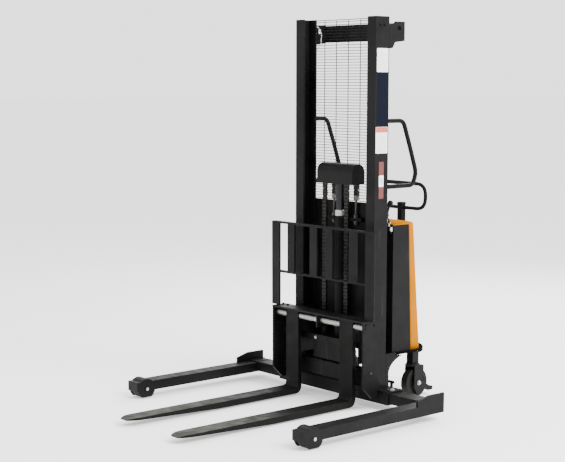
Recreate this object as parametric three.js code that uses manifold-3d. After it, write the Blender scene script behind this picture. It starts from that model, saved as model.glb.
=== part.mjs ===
// Walkie stacker: a pedestrian straddle stacker with a single fixed mast.
//
// Millimetres, +Z up, standing on the floor at Z = 0. The forks point to -Y and X is the
// machine's width. Inside the `machine` group Y = 0 is the front face of the mast channels;
// the group is shifted so that the origin is the bottom centre of the whole machine.

import * as THREE from 'three';
import { mergeVertices } from 'three/addons/utils/BufferGeometryUtils.js';
import Module from 'manifold-3d';

const wasm = await Module();
wasm.setup();

// ---------------------------------------------------------------- driving dimensions

const GAP = 0.3;
const BOTH_SIDES = [['left', 1], ['right', -1]];

const MACHINE_SHIFT_Y = 331;

const MAST = { halfWidth: 304, depth: 95, flange: 62, web: 8, lip: 10, foot: 105, top: 2000 };
const BASE = { sleeveHalf: 428, front: -10, rear: 100, bottom: 34, top: 104, wall: 6 };
const DECK = { bottom: 250, top: 256, halfWidth: 284, front: 170, sideEnd: 300, tail: 238, lip: 238 };
const HOUSING = { halfWidth: 260, front: 184, top: 940, sheet: 4 };
const SEAM = { top: 300, foot: 325, tailTop: 85, tailFoot: 140 };
const SWITCHES = { y: 235, stopX: -120, keyX: -190, hole: 11.3 };

const LEG = { inner: 628, outer: 714, bottom: 39, top: 90, nose: -831, rearEnd: 101 };
const LOAD_WHEEL = { radius: 50, width: 60, y: -769 };
const CASTER = { x: 262, swivelY: 340, trail: 12, radius: 80, width: 46, plateTop: 186, stem: 23 };

const SHAFT = { y: -82, z: 434, radius: 19, half: 358 };
const FORK = { x: 211, width: 100, front: -104, rear: -79, eyeRear: -55, top: 42, bottom: 9, tip: -1200 };
const SIDE_PLATE = { inner: 346, outer: 358, front: -119, rear: -15, corner: 128, bottom: 66 };
const SHELF = { bottom: 461, top: 471, front: -121, rear: -28, half: 358 };
const BACKREST = { half: 397, front: -90, top: 928, middle: 661 };
const ROLLER = { radius: 36.5, y: 47.5, inner: 246, outer: 280, lowZ: 262, highZ: 428 };

const RAM = { y: 50, rod: 26, barrel: 31, gland: 31, barrelTop: 976, glandTop: 1008 };
const SHEAVE = { x: 84, y: 49, z: 1180, rim: 40, floor: 25.5, half: 20 };
const YOKE = { bottom: 1145, top: 1252, half: 135, front: 3.5, rear: 93.5 };
const CHAIN = { half: 15, thick: 7, anchorZ: 226, rodTop: 1086, frontY: 16, rearY: 82 };

const TILLER = { y: 506, side: 34, top: 1022, reach: 180, loopLow: 993, loopHigh: 1128 };

// ---------------------------------------------------------------- materials

const material = (color, roughness, metalness) =>
  new THREE.MeshStandardMaterial({ color, roughness, metalness });

const FINISH = {
  black: () => material(0x1e1e1f, 0.45, 0.2),
  forkSteel: () => material(0x3a3a38, 0.5, 0.4),
  yellow: () => material(0xe0a032, 0.4, 0.0),
  zinc: () => material(0xb9bab6, 0.35, 0.9),
  nitrided: () => material(0x262627, 0.25, 0.9),
  chainSteel: () => material(0x4a4743, 0.5, 0.8),
  mesh: () => material(0x2b2b2b, 0.5, 0.3),
  tyre: () => material(0x1a1a1a, 0.7, 0.0),
  plastic: () => material(0x202022, 0.55, 0.0),
  battery: () => material(0x35373a, 0.6, 0.0),
  red: () => material(0xb3201c, 0.4, 0.0),
};

// ---------------------------------------------------------------- shape helpers

function toSolid(geometry) {
  const plain = geometry.clone();
  plain.deleteAttribute('normal');
  plain.deleteAttribute('uv');
  const merged = mergeVertices(plain, 1e-3);
  return new wasm.Manifold(new wasm.Mesh({
    numProp: 3,
    vertProperties: Float32Array.from(merged.attributes.position.array),
    triVerts: Uint32Array.from(merged.index.array),
  }));
}

function fromSolid(solid) {
  const mesh = solid.getMesh();
  const geometry = new THREE.BufferGeometry();
  geometry.setAttribute('position', new THREE.BufferAttribute(mesh.vertProperties, 3));
  geometry.setIndex(new THREE.BufferAttribute(mesh.triVerts, 1));
  return geometry;
}

function join(...geometries) {
  const [first, ...others] = geometries.map(toSolid);
  return fromSolid(others.reduce((body, other) => body.add(other), first));
}

function cut(geometry, ...tools) {
  return fromSolid(tools.map(toSolid).reduce((body, tool) => body.subtract(tool), toSolid(geometry)));
}

function common(first, second) {
  return fromSolid(toSolid(first).intersect(toSolid(second)));
}

function box(x0, x1, y0, y1, z0, z1) {
  const geometry = new THREE.BoxGeometry(Math.abs(x1 - x0), Math.abs(y1 - y0), Math.abs(z1 - z0));
  return geometry.translate((x0 + x1) / 2, (y0 + y1) / 2, (z0 + z1) / 2);
}

const BASES = {
  x: [[0, 1, 0], [0, 0, 1], [1, 0, 0]],
  y: [[0, 0, 1], [1, 0, 0], [0, 1, 0]],
  z: [[1, 0, 0], [0, 1, 0], [0, 0, 1]],
};

// An outline extruded along an axis: [y, z] points along X, [z, x] along Y, [x, y] along Z.
function prism(axis, outline, from, to) {
  const shape = outline instanceof THREE.Shape
    ? outline
    : new THREE.Shape(outline.map(([u, v]) => new THREE.Vector2(u, v)));
  const depth = Math.abs(to - from);
  const geometry = new THREE.ExtrudeGeometry(shape, { depth, bevelEnabled: false, curveSegments: 10 });
  geometry.translate(0, 0, Math.min(from, to));
  const [u, v, w] = BASES[axis].map((direction) => new THREE.Vector3(...direction));
  return geometry.applyMatrix4(new THREE.Matrix4().makeBasis(u, v, w));
}

// A round bar along an axis, from one end to the other, centred on the other two coordinates.
function bar(axis, radius, from, to, first, second, segments = 24) {
  const geometry = new THREE.CylinderGeometry(radius, radius, Math.abs(to - from), segments);
  const middle = (from + to) / 2;
  if (axis === 'x') return geometry.rotateZ(-Math.PI / 2).translate(middle, first, second);
  if (axis === 'y') return geometry.translate(first, middle, second);
  return geometry.rotateX(Math.PI / 2).translate(first, second, middle);
}

// A ring or wheel turned about the X axis: [radius, x] points of a closed outline.
function turnedX(outline, segments) {
  const points = [...outline, outline[0]].map(([radius, x]) => new THREE.Vector2(radius, x));
  return new THREE.LatheGeometry(points, segments).rotateZ(-Math.PI / 2);
}

// A straight-sided path whose corners are rounded off at the given distance from each corner.
function roundedPath(points, corner) {
  const path = new THREE.CurvePath();
  const nodes = points.map((point) => new THREE.Vector3(...point));
  let start = nodes[0];
  for (let i = 1; i < nodes.length - 1; i += 1) {
    const before = nodes[i].clone().lerp(nodes[i - 1], corner / nodes[i].distanceTo(nodes[i - 1]));
    const after = nodes[i].clone().lerp(nodes[i + 1], corner / nodes[i].distanceTo(nodes[i + 1]));
    path.add(new THREE.LineCurve3(start, before));
    path.add(new THREE.QuadraticBezierCurve3(before, nodes[i], after));
    start = after;
  }
  path.add(new THREE.LineCurve3(start, nodes[nodes.length - 1]));
  return path;
}

function tube(points, corner, radius, steps, sides = 8) {
  const section = new THREE.Shape();
  section.absarc(0, 0, radius, 0, Math.PI * 2, false);
  return new THREE.ExtrudeGeometry(section, {
    steps,
    curveSegments: sides / 2,
    bevelEnabled: false,
    extrudePath: roundedPath(points, corner),
  });
}

const named = (name, geometry, finish) => {
  const mesh = new THREE.Mesh(geometry, FINISH[finish]());
  mesh.name = name;
  return mesh;
};

const groupOf = (...children) => {
  const group = new THREE.Group();
  group.add(...children);
  return group;
};

// Mirrors an [x, ...] outline or a bound to the chosen side of the machine.
const onSide = (side, outline) => outline.map(([x, y]) => [side * x, y]);

// ---------------------------------------------------------------- mast

function mastChannel(side) {
  const { halfWidth, depth, flange, web, lip, foot, top } = MAST;
  const outline = onSide(side, [
    [halfWidth, 0], [halfWidth, depth], [halfWidth - flange, depth], [halfWidth - flange, depth - lip],
    [halfWidth - web, depth - lip], [halfWidth - web, lip], [halfWidth - flange, lip],
    [halfWidth - flange, 0],
  ]);
  return prism('z', outline, foot, top);
}

// The rear bridge over the mast: a cross plate between two ears, each with a lifting hole.
function mastBridge() {
  const earOutline = [
    [MAST.depth + GAP, 1840], [120, 1844], [136, 1872], [204, 1880],
    [204, 1976], [142, 1976], [136, 1969], [MAST.depth + GAP, 1962],
  ];
  const ears = [1, -1].map((side) => prism('x', earOutline, side * 304, side * 292));
  const plate = box(-298, 298, 194, 203, 1884, 1972);
  return cut(join(...ears, plate), bar('x', 14, -310, 310, 165, 1942));
}

// Welded wire guard behind the channels, edged by a heavier wire.
function meshGuard() {
  const { depth } = MAST;
  const [bottom, top, half, edge] = [1053, 1998, 280, 4];
  const back = depth + GAP + 4;
  const rim = cut(
    box(-half, half, depth + GAP, back, bottom, top),
    box(-half + edge, half - edge, depth - 1, back + 1, bottom + edge, top - edge),
  );
  const wires = [];
  for (let x = -182; x <= 182; x += 91) {
    wires.push(box(x - 1.5, x + 1.5, back - 3, back, bottom + 2, top - 2));
  }
  for (let z = bottom + 60; z < top - 20; z += 60) {
    wires.push(box(-half + 2, half - 2, depth + GAP + 1, back - 1, z - 1.5, z + 1.5));
  }
  return join(rim, ...wires);
}

// The fixed cross plate that carries the chain anchors, with a lug for each anchor rod and the
// back sheet below it that closes the mast behind the carriage.
function mastCrossPlate() {
  const plate = box(-290, 290, MAST.depth + GAP, 104, 905, 1050);
  const sheetFoot = 280;
  const backSheet = box(-290, 290, MAST.depth + GAP, 98, sheetFoot, 906);
  const lugHalf = 50;
  const lugs = [1, -1].map((side) => cut(
    box(side * (SHEAVE.x - lugHalf), side * (SHEAVE.x + lugHalf), 72, 104, 950, 968),
    bar('z', 7.3, 940, 980, side * SHEAVE.x, CHAIN.rearY),
  ));
  return join(plate, backSheet, ...lugs);
}

function buildMast() {
  return groupOf(
    ...BOTH_SIDES.map(([name, side]) => named(`mast_channel_${name}`, mastChannel(side), 'black')),
    named('mast_bridge', mastBridge(), 'black'),
    named('mast_cross_plate', mastCrossPlate(), 'black'),
    named('mesh_guard', meshGuard(), 'mesh'),
  );
}

// ---------------------------------------------------------------- base, deck and handles

function outriggerSleeve() {
  const { sleeveHalf, front, rear, bottom, top, wall } = BASE;
  const outer = box(-sleeveHalf, sleeveHalf, front, rear, bottom, top);
  const bore = box(-sleeveHalf - 1, sleeveHalf + 1, front + wall, rear - wall, bottom + wall, top - wall);
  const screws = [1, -1].map((side) => bar('z', 8.3, top - wall - 1, top + 1, side * 398, 45));
  return cut(outer, bore, ...screws);
}

// Side plate from the mast foot up to the deck, cut away in an arc for the caster to swing.
function baseSidePlate(side) {
  const outline = new THREE.Shape();
  outline.moveTo(BASE.rear + GAP, 60);
  outline.lineTo(120, 60);
  outline.lineTo(118, 168);
  outline.quadraticCurveTo(128, 224, 214, DECK.bottom - GAP);
  outline.lineTo(DECK.front - GAP, DECK.bottom - GAP);
  outline.lineTo(DECK.front - GAP, DECK.top + 14);
  outline.lineTo(MAST.depth + GAP, DECK.top + 14);
  outline.lineTo(MAST.depth + GAP, BASE.top + GAP);
  outline.lineTo(BASE.rear + GAP, BASE.top + GAP);
  return prism('x', outline, side * 292, side * 304);
}

// Plan of the deck and of the rear cover: straight flanks and a tail shaped as half a
// superellipse, which gets squarer as the exponent grows from the ellipse's 2.
function tailShape(half, front, seam, tail, exponent) {
  const steps = 24;
  const shape = new THREE.Shape();
  shape.moveTo(-half, front);
  shape.lineTo(half, front);
  for (let k = 0; k <= steps; k += 1) {
    const angle = (Math.PI * k) / steps;
    const across = Math.sign(Math.cos(angle)) * Math.abs(Math.cos(angle)) ** (2 / exponent);
    shape.lineTo(half * across, seam + tail * Math.abs(Math.sin(angle)) ** (2 / exponent));
  }
  return shape;
}

// Flat deck with a folded lip round its tail, behind the casters' stems.
function deckPlate() {
  const { bottom, top, halfWidth, front, sideEnd, tail, lip } = DECK;
  const planOf = (inset) => tailShape(halfWidth - inset, front, sideEnd, tail - inset, 2.2);
  const lipStart = CASTER.swivelY + 30;
  const rim = cut(
    prism('z', planOf(0), lip, bottom + 1),
    prism('z', planOf(5), lip - 1, bottom + 2),
    box(-300, 300, front - 1, lipStart, lip - 1, bottom + 2),
  );
  return join(prism('z', planOf(0), bottom, top), rim);
}

// Square stem that carries a caster's top plate under the deck.
function casterMount(side) {
  const { x, swivelY, stem, plateTop } = CASTER;
  return box(
    side * (x - stem), side * (x + stem), swivelY - stem, swivelY + stem, plateTop + GAP, DECK.bottom - GAP,
  );
}

function pushHandle(side) {
  const x = side * 291;
  const start = MAST.depth + GAP;
  return tube([
    [x, start, 1477], [x, 214, 1477], [x, 262, 1352], [x, 314, 1206], [x, 290, 1141], [x, start, 1141],
  ], 28, 11, 24);
}

function buildBase() {
  const frontPlate = box(-242 + GAP, 242 - GAP, 0, 8, BASE.top + GAP, 205);
  return groupOf(
    named('outrigger_sleeve', outriggerSleeve(), 'black'),
    named('base_front_plate', frontPlate, 'black'),
    named('deck_plate', deckPlate(), 'black'),
    ...BOTH_SIDES.flatMap(([name, side]) => [
      named(`base_side_plate_${name}`, baseSidePlate(side), 'black'),
      named(`caster_mount_${name}`, casterMount(side), 'black'),
      named(`push_handle_${name}`, pushHandle(side), 'black'),
    ]),
  );
}

// ---------------------------------------------------------------- housing and power pack

// Slides the points behind the seam backwards as they get lower, so that the back flares.
function flared(geometry) {
  const points = geometry.attributes.position;
  const height = HOUSING.top - DECK.top;
  for (let i = 0; i < points.count; i += 1) {
    const drop = (HOUSING.top - points.getZ(i)) / height;
    const seam = SEAM.top + (SEAM.foot - SEAM.top) * drop;
    const tail = SEAM.tailTop + (SEAM.tailFoot - SEAM.tailTop) * drop;
    points.setY(i, seam + ((points.getY(i) - SEAM.top) * tail) / SEAM.tailTop);
  }
  return geometry;
}

// Black sheet housing: two flanks and a front wall, open at the top and at the sloping seam.
function housingShell() {
  const { halfWidth, front, top, sheet } = HOUSING;
  const foot = DECK.top + GAP;
  const head = top - 5 - GAP;
  const profile = [[front, foot], [SEAM.foot - GAP, foot], [SEAM.top - GAP, head], [front, head]];
  const room = box(-halfWidth + sheet, halfWidth - sheet, front + sheet, SEAM.foot + 1, foot - 1, top);
  return cut(prism('x', profile, -halfWidth, halfWidth), room);
}

// Yellow cover: a lid over the whole housing and a bowed back that flares towards the deck.
function rearCover() {
  const { halfWidth, front, top } = HOUSING;
  const wall = 4;
  const exponent = 3;
  const backShape = tailShape(halfWidth, SEAM.top, SEAM.top + 1, SEAM.tailTop - 1, exponent);
  const back = flared(prism('z', backShape, DECK.top + GAP, top));
  const roomShape = tailShape(halfWidth - wall, SEAM.top - 1, SEAM.top + 1, SEAM.tailTop - wall, exponent);
  const room = flared(prism('z', roomShape, DECK.top - 1, top - 5));
  const lid = prism('z', tailShape(halfWidth, front, SEAM.top, SEAM.tailTop, exponent), top - 5, top);
  const holes = [SWITCHES.stopX, SWITCHES.keyX].map(
    (x) => bar('z', SWITCHES.hole, top - 6, top + 1, x, SWITCHES.y),
  );
  return cut(join(cut(back, room), lid), ...holes);
}

function batteryBox() {
  const body = box(-245, 5, 192, 318, 257, 470);
  const terminals = [-205, -35].map((x) => bar('z', 9, 469, 486, x, 255, 12));
  return join(body, ...terminals);
}

function pumpMotor() {
  const motor = bar('z', 62, 470, 690, 130, 255);
  const valveBlock = box(75, 185, 200, 310, 400, 471);
  const solenoid = bar('z', 24, 500, 620, 130, 338, 16);
  const strap = box(118, 142, 300, 340, 540, 560);
  return join(motor, valveBlock, solenoid, strap);
}

function hydraulicTank() {
  const filler = bar('z', 16, 399, 412, 210, 255, 16);
  return join(box(30, 240, 192, 318, 257, 399.7), filler);
}

// Mushroom head on a stem that drops through the lid.
function emergencyStop() {
  const { top } = HOUSING;
  const head = bar('z', 20, top + 9, top + 24, SWITCHES.stopX, SWITCHES.y);
  return join(head, bar('z', 10.9, top - 18, top + 10, SWITCHES.stopX, SWITCHES.y));
}

function keySwitch() {
  const { top } = HOUSING;
  const { keyX, y } = SWITCHES;
  const barrel = bar('z', 10.9, top - 28, top + 3, keyX, y);
  const flange = bar('z', 14, top + GAP, top + 4, keyX, y);
  return join(barrel, flange, box(keyX - 9, keyX + 9, y - 1, y + 1, top + 3, top + 28));
}

function buildHousing() {
  return groupOf(
    named('housing_shell', housingShell(), 'black'),
    named('rear_cover', rearCover(), 'yellow'),
    named('battery', batteryBox(), 'battery'),
    named('pump_motor', pumpMotor(), 'black'),
    named('hydraulic_tank', hydraulicTank(), 'plastic'),
    named('emergency_stop', emergencyStop(), 'red'),
    named('key_switch', keySwitch(), 'zinc'),
  );
}

// ---------------------------------------------------------------- lift: cylinder, yoke, chains

function cylinderBarrel() {
  const { barrel, rod, barrelTop, y } = RAM;
  const outer = bar('z', barrel, BASE.top + GAP, barrelTop, 0, y);
  return cut(outer, bar('z', rod + 2, 150, barrelTop + 1, 0, y));
}

function cylinderGland() {
  const { gland, rod, barrelTop, glandTop, y } = RAM;
  const nut = bar('z', gland, barrelTop + GAP, glandTop, 0, y);
  return cut(nut, bar('z', rod + GAP, barrelTop, glandTop + 1, 0, y));
}

// Block on the rod's end with the pin that both sheaves turn on.
function chainYoke() {
  const block = box(-60, 60, 24, 80, 1146, 1208);
  return join(block, bar('x', 10, -116, 116, SHEAVE.y, SHEAVE.z));
}

// Bent sheet over both sheaves: a half-round arch in section, closed at its two ends.
function yokeCover() {
  const { bottom, top, half, front, rear } = YOKE;
  const radius = (rear - front) / 2;
  const archOf = (inset, foot) => {
    const shape = new THREE.Shape();
    shape.moveTo(front + inset, foot);
    shape.lineTo(rear - inset, foot);
    shape.absarc(front + radius, top - radius, radius - inset, 0, Math.PI, false);
    shape.lineTo(front + inset, foot);
    return shape;
  };
  const room = prism('x', archOf(3, bottom - 1), -half + 4, half - 4);
  return cut(prism('x', archOf(0, bottom), -half, half), room);
}

function sheave(side) {
  const { x, y, z, rim, floor, half } = SHEAVE;
  const outline = [
    [10.4, -half], [rim, -half], [rim, -half + 3], [floor, -half + 4.5],
    [floor, half - 4.5], [rim, half - 3], [rim, half], [10.4, half],
  ];
  return turnedX(outline, 24).translate(side * x, y, z);
}

function chainStrand(side, y, bottom, top) {
  const { half, thick } = CHAIN;
  return box(side * (SHEAVE.x - half), side * (SHEAVE.x + half), y - thick, y + thick, bottom, top);
}

// Threaded anchor rod that hangs from its lug by a nut, with an eye block for the chain.
function chainRod(side) {
  const x = side * SHEAVE.x;
  const y = CHAIN.rearY;
  const rod = bar('z', 7, 930, CHAIN.rodTop - 20, x, y, 16);
  const nut = bar('z', 12, 936, 950 - GAP, x, y, 6);
  const eye = box(x - 12, x + 12, y - 7, y + 7, CHAIN.rodTop - 24, CHAIN.rodTop);
  return join(rod, nut, eye);
}

function buildLift() {
  return groupOf(
    named('cylinder_barrel', cylinderBarrel(), 'black'),
    named('cylinder_gland', cylinderGland(), 'zinc'),
    named('lift_rod', bar('z', RAM.rod, 165, 1146 - GAP, 0, RAM.y), 'nitrided'),
    named('chain_yoke', chainYoke(), 'black'),
    named('yoke_cover', yokeCover(), 'black'),
    ...BOTH_SIDES.flatMap(([name, side]) => [
      named(`sheave_${name}`, sheave(side), 'zinc'),
      named(`chain_rod_${name}`, chainRod(side), 'zinc'),
      named(
        `chain_front_${name}`,
        chainStrand(side, CHAIN.frontY, CHAIN.anchorZ + GAP, SHEAVE.z),
        'chainSteel',
      ),
      named(
        `chain_rear_${name}`,
        chainStrand(side, CHAIN.rearY, CHAIN.rodTop + GAP, SHEAVE.z),
        'chainSteel',
      ),
    ]),
  );
}

// ---------------------------------------------------------------- carriage and forks

function carriageSidePlate(side) {
  const { inner, outer, front, rear, corner, bottom } = SIDE_PLATE;
  const outline = [
    [front, corner], [front + 62, bottom], [rear, bottom],
    [rear, SHELF.bottom + 2], [front, SHELF.bottom + 2],
  ];
  return prism('x', outline, side * inner, side * outer);
}

function rollerPlate(side) {
  const outline = [[-50, 318], [-28, 302], [-28, 222], [88, 222], [88, 450], [70, 468], [-50, 468]];
  return prism('x', outline, side * 222, side * 236);
}

// Cross members between the side plates, roller plates with their stub axles, and the tongue
// that reaches down and back to the two chain anchors.
function carriageFrame() {
  const { y, outer, lowZ, highZ } = ROLLER;
  const shelf = box(-SHELF.half, SHELF.half, SHELF.front, SHELF.rear, SHELF.bottom, SHELF.top);
  const divider = box(-5, 5, SHELF.front + 4, -40, 395, SHELF.bottom + 2);
  const heelBar = box(-350, 350, -40, -24, 120, 200);
  const lowerMember = box(-350, 350, -46, -20, 308, 338);
  const tongue = box(-110, 110, -40, -28, 214, 310);
  const pairs = [1, -1].flatMap((side) => [
    carriageSidePlate(side),
    rollerPlate(side),
    bar('x', 14, side * 230, side * (outer + 4), y, lowZ),
    bar('x', 14, side * 230, side * (outer + 4), y, highZ),
    box(side * 64, side * 104, -30, 28, 214, CHAIN.anchorZ),
  ]);
  const frame = join(shelf, divider, heelBar, lowerMember, tongue, ...pairs);
  return cut(frame, bar('x', SHAFT.radius + GAP, -380, 380, SHAFT.y, SHAFT.z, 32));
}

// Load backrest: flat outer uprights, two cross bars and four short bars between them.
function loadBackrest() {
  const { half, front, top, middle } = BACKREST;
  const uprights = [1, -1].map((side) => box(
    side * (half - 64), side * half, front, front + 10, SHELF.top + GAP, top - 5,
  ));
  const bars = [62 - 30, 242 - 30].flatMap((x) => [1, -1].map((side) => box(
    side * x, side * (x + 56), front, front + 12, middle - 5, top - 5,
  )));
  const topBar = box(-half, half, front, front + 30, top - 10, top);
  const middleBar = box(-half + 10, half - 10, front, front + 28, middle - 10, middle);
  return join(topBar, middleBar, ...uprights, ...bars);
}

function fork(side) {
  const { x, width, front, rear, eyeRear, top, bottom, tip } = FORK;
  const shape = new THREE.Shape();
  shape.moveTo(rear, 396);
  shape.lineTo(eyeRear, 412);
  shape.lineTo(eyeRear, 459.5);
  shape.lineTo(front, 459.5);
  shape.lineTo(front, top + 26);
  shape.quadraticCurveTo(front, top, front - 26, top);
  shape.lineTo(tip + 40, top);
  shape.lineTo(tip, top - 6);
  shape.lineTo(tip, top - 11);
  shape.lineTo(-640, bottom);
  shape.lineTo(rear - 46, bottom);
  shape.quadraticCurveTo(rear, bottom, rear, bottom + 46);
  const plan = new THREE.Shape();
  plan.moveTo(-width / 2, 0);
  plan.lineTo(-width / 2, tip + 80);
  plan.quadraticCurveTo(-width / 2 + 3, tip + 16, -24, tip);
  plan.lineTo(24, tip);
  plan.quadraticCurveTo(width / 2 - 3, tip + 16, width / 2, tip + 80);
  plan.lineTo(width / 2, 0);
  const body = common(prism('x', shape, -width / 2, width / 2), prism('z', plan, 0, 500));
  const eye = bar('x', SHAFT.radius + GAP, -width, width, SHAFT.y, SHAFT.z, 32);
  return cut(body, eye).translate(side * x, 0, 0);
}

function roller(side, z) {
  const { radius, inner, outer, y } = ROLLER;
  const half = (outer - inner) / 2;
  const outline = [
    [14.4, -half], [radius - 2, -half], [radius, -half + 2],
    [radius, half - 2], [radius - 2, half], [14.4, half],
  ];
  return turnedX(outline, 24).translate((side * (inner + outer)) / 2, y, z);
}

function buildCarriage() {
  const shaft = bar('x', SHAFT.radius, -SHAFT.half, SHAFT.half, SHAFT.y, SHAFT.z, 32);
  return groupOf(
    named('carriage_frame', carriageFrame(), 'black'),
    named('load_backrest', loadBackrest(), 'black'),
    named('fork_shaft', shaft, 'zinc'),
    ...BOTH_SIDES.flatMap(([name, side]) => [
      named(`fork_${name}`, fork(side), 'forkSteel'),
      named(`mast_roller_upper_${name}`, roller(side, ROLLER.highZ), 'zinc'),
      named(`mast_roller_lower_${name}`, roller(side, ROLLER.lowZ), 'zinc'),
    ]),
  );
}

// ---------------------------------------------------------------- outriggers

// Drum-shaped hood over the load wheel, with a square nose in front of it.
function wheelHood() {
  const { inner, outer, bottom, top, nose } = LEG;
  const { y, radius } = LOAD_WHEEL;
  const drum = common(
    bar('x', radius + 4, inner, outer, y, radius, 40),
    box(inner, outer, y - 100, y + 100, 6, 200),
  );
  return join(drum, box(inner, outer, nose, y, bottom, top));
}

// Room for the load wheel between the hood's two cheeks, open underneath.
function wheelRoom() {
  const { inner, outer } = LEG;
  const { y, radius } = LOAD_WHEEL;
  const cheek = 10;
  return join(
    bar('x', radius + 1, inner + cheek, outer - cheek, y, radius, 40),
    box(inner + cheek, outer - cheek, y - radius - 1, y + radius + 1, 0, radius),
  );
}

// One leg: a square bar, the crossbar that telescopes in the base sleeve, and the wheel hood.
function outrigger(side) {
  const { inner, outer, bottom, top, rearEnd } = LEG;
  const beam = box(inner, outer, LOAD_WHEEL.y + 40, rearEnd, bottom, top);
  const crossbar = box(205, outer - 4, -2, 92, 42, 96);
  const plateOutline = [[-88, bottom], [rearEnd, bottom], [rearEnd, 139], [-10, 139], [-88, 118]];
  const endPlate = prism('x', plateOutline, outer - 12, outer);
  const bore = bar('x', 8.3, inner - 1, outer + 1, LOAD_WHEEL.y, LOAD_WHEEL.radius);
  const leg = cut(join(beam, crossbar, endPlate, wheelHood()), wheelRoom(), bore);
  return side > 0 ? leg : fromSolid(toSolid(leg).mirror([1, 0, 0]));
}

function loadWheel(side) {
  const { radius, width, y } = LOAD_WHEEL;
  const half = width / 2;
  const outline = [
    [8.8, -half], [radius - 5, -half], [radius, -half + 5],
    [radius, half - 5], [radius - 5, half], [8.8, half],
  ];
  return turnedX(outline, 32).translate((side * (LEG.inner + LEG.outer)) / 2, y, radius);
}

function loadAxle(side) {
  const { y, radius } = LOAD_WHEEL;
  const pin = bar('x', 8, side * (LEG.inner - 8), side * (LEG.outer + 6), y, radius, 16);
  const head = bar('x', 13, side * (LEG.outer + GAP), side * (LEG.outer + 7), y, radius, 6);
  const nut = bar('x', 13, side * (LEG.inner - GAP), side * (LEG.inner - 9), y, radius, 6);
  return join(pin, head, nut);
}

// Clamping screw with a short T handle that locks the leg's crossbar in its sleeve.
function clampBolt(side) {
  const x = side * 398;
  const screw = bar('z', 8, 96 + GAP, 148, x, 45, 16);
  return join(screw, bar('x', 7, x - 18, x + 18, 45, 147, 12));
}

function buildOutriggers() {
  return groupOf(...BOTH_SIDES.flatMap(([name, side]) => [
    named(`outrigger_${name}`, outrigger(side), 'black'),
    named(`load_wheel_${name}`, loadWheel(side), 'tyre'),
    named(`load_axle_${name}`, loadAxle(side), 'zinc'),
    named(`clamp_bolt_${name}`, clampBolt(side), 'black'),
  ]));
}

// ---------------------------------------------------------------- casters

// The caster parts are drawn round their swivel axis, which stands at X = 0, Y = 0.
function casterFork() {
  const { trail, radius, plateTop } = CASTER;
  const cheek = [
    [-20, plateTop - 14], [-22, 60], [2, 14], [trail, 7], [trail + 10, 14],
    [46, 60], [48, plateTop - 14],
  ];
  const cheeks = [1, -1].map((side) => prism('x', cheek, side * 31, side * 37));
  const crown = box(-37, 37, -20, 48, plateTop - 20, plateTop - 12);
  const race = bar('z', 34, plateTop - 13, plateTop, 0, 0, 32);
  return join(...cheeks, crown, race, bar('x', 8, -44, 44, trail, radius, 16));
}

function casterWheel() {
  const { trail, radius, width } = CASTER;
  const half = width / 2;
  const outline = [
    [8.6, -half], [24, -half], [27, -half + 6], [radius - 9, -half + 4], [radius, -half + 11],
    [radius, half - 11], [radius - 9, half - 4], [27, half - 6], [24, half], [8.6, half],
  ];
  return turnedX(outline, 32).translate(0, trail, radius);
}

// Foot brake: two arms that turn on the axle and a tread bar behind the wheel.
function casterPedal() {
  const { trail, radius } = CASTER;
  const arm = [[-4, 66], [92, 26], [128, 26], [128, 46], [102, 52], [28, 98], [-4, 98]];
  const arms = [1, -1].map((side) => prism('x', arm, side * 25, side * 29));
  const tread = box(-29, 29, 100, 128, 26, 46);
  return cut(join(...arms, tread), bar('x', 8.3, -40, 40, trail, radius, 16));
}

function buildCasters() {
  return groupOf(...BOTH_SIDES.map(([name, side]) => {
    const caster = groupOf(
      named(`caster_fork_${name}`, casterFork(), 'black'),
      named(`caster_wheel_${name}`, casterWheel(), 'tyre'),
      named(`caster_pedal_${name}`, casterPedal(), 'black'),
    );
    caster.position.set(side * CASTER.x, CASTER.swivelY, 0);
    return caster;
  }));
}

// ---------------------------------------------------------------- tiller and lift lever

// Square steering column with a loop handle, drawn round the column's own axis.
function tiller() {
  const { side, top, reach, loopLow, loopHigh } = TILLER;
  const half = side / 2;
  const column = box(-half, half, -half, half, DECK.top + 2, top);
  const cap = box(-half - 2, half + 2, -half - 2, half + 2, top - 12, top);
  const loop = tube([
    [8, 0, loopLow], [reach, 0, loopLow], [reach, 0, loopHigh],
    [-reach, 0, loopHigh], [-reach, 0, loopLow], [-8, 0, loopLow],
  ], 64, 10, 44);
  return join(column, cap, loop);
}

function tillerSocket() {
  const collar = bar('z', 30, DECK.top + GAP, DECK.top + 26, 0, 0);
  return cut(collar, bar('z', 25.5, DECK.top - 1, DECK.top + 30, 0, 0));
}

function buildTiller() {
  const group = groupOf(named('tiller', tiller(), 'black'), named('tiller_socket', tillerSocket(), 'black'));
  group.position.set(0, TILLER.y, 0);
  return group;
}

// Hand lever for lowering and lifting: a flat arm with a ball, hung on a pin of its own.
function liftLever() {
  const armOutline = [[108, 986], [124, 986], [146, 1046], [138, 1050], [118, 1010], [108, 1004]];
  const arm = prism('x', armOutline, 270, 276);
  const pin = bar('x', 6, 262, 284, 116, 995, 16);
  const ball = new THREE.SphereGeometry(15, 14, 8).translate(273, 146, 1054);
  return join(arm, pin, ball);
}

// ---------------------------------------------------------------- whole machine

const machine = groupOf(
  buildMast(),
  buildBase(),
  buildHousing(),
  buildLift(),
  buildCarriage(),
  buildOutriggers(),
  buildCasters(),
  buildTiller(),
  named('lift_lever', liftLever(), 'black'),
);
machine.position.y = MACHINE_SHIFT_Y;

const walkieStacker = new THREE.Group();
walkieStacker.add(machine);

export default walkieStacker;
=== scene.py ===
import math

import bmesh
import bpy
from mathutils import Matrix, Vector


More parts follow.
